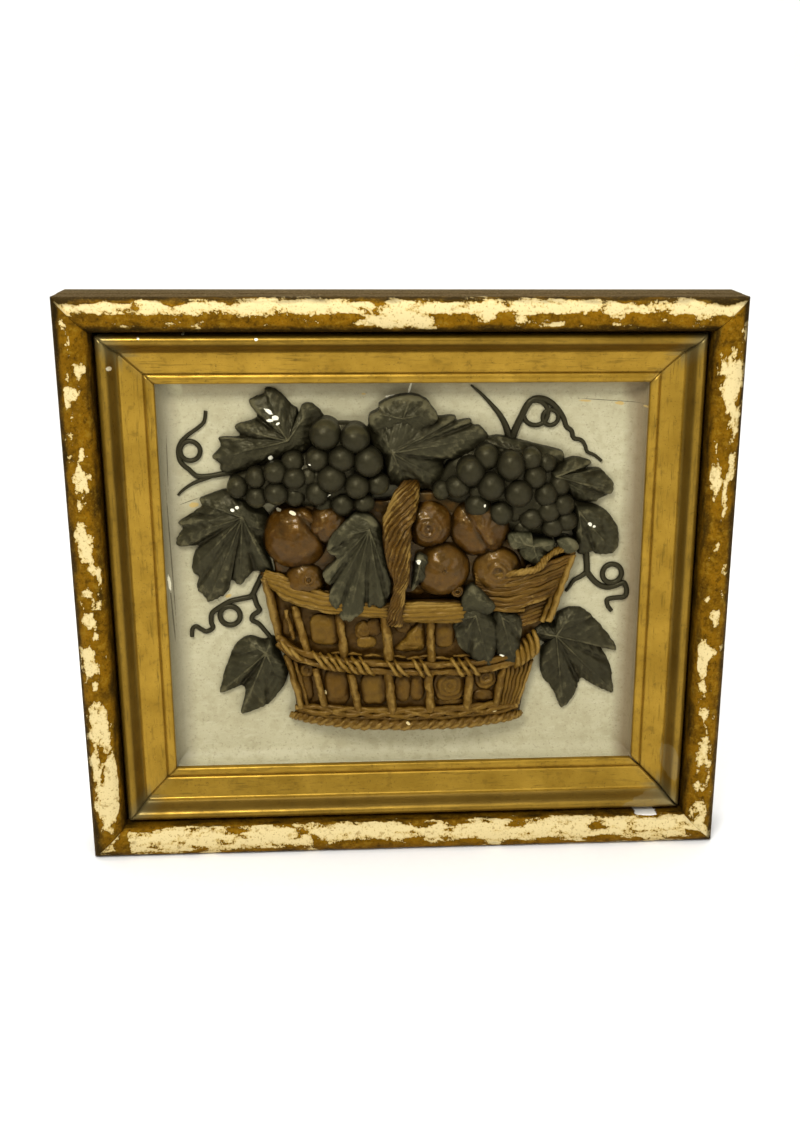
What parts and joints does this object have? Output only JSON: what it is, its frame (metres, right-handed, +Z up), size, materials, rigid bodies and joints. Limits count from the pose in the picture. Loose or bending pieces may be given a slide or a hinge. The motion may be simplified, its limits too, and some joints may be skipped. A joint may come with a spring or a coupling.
{
  "type": "decorative wall plaque",
  "caption": "Framed relief plaque: a cast basket of fruit, grapes and vine leaves in a mitred gilt frame, made to hang flat on a wall.",
  "frame": {"origin": "middle of the flat back of the cast panel, in the plane of the frame's back", "axes": "+Y out of the back, into the wall; -Y is the front; +Z up; +X to the viewer's right"},
  "size_m": [0.5, 0.0598, 0.4404],
  "materials": {
    "worn_gilt_gesso": "old gilding over gesso on wood, flaked back to pale gesso in large patches",
    "gilt_slip": "bright gilding on wood, rubbed and streaked with brown",
    "painted_plaster": "cast plaster, painted: stone-cream ground, dark green leaves and grapes, brown fruit and basket"
  },
  "bodies": {
    "root": {"outer_rail_top": "worn_gilt_gesso", "outer_rail_right": "worn_gilt_gesso", "outer_rail_bottom": "worn_gilt_gesso", "outer_rail_left": "worn_gilt_gesso", "liner_top": "gilt_slip", "liner_right": "gilt_slip", "liner_bottom": "gilt_slip", "liner_left": "gilt_slip", "relief_panel": "painted_plaster"}
  },
  "joints": []
}
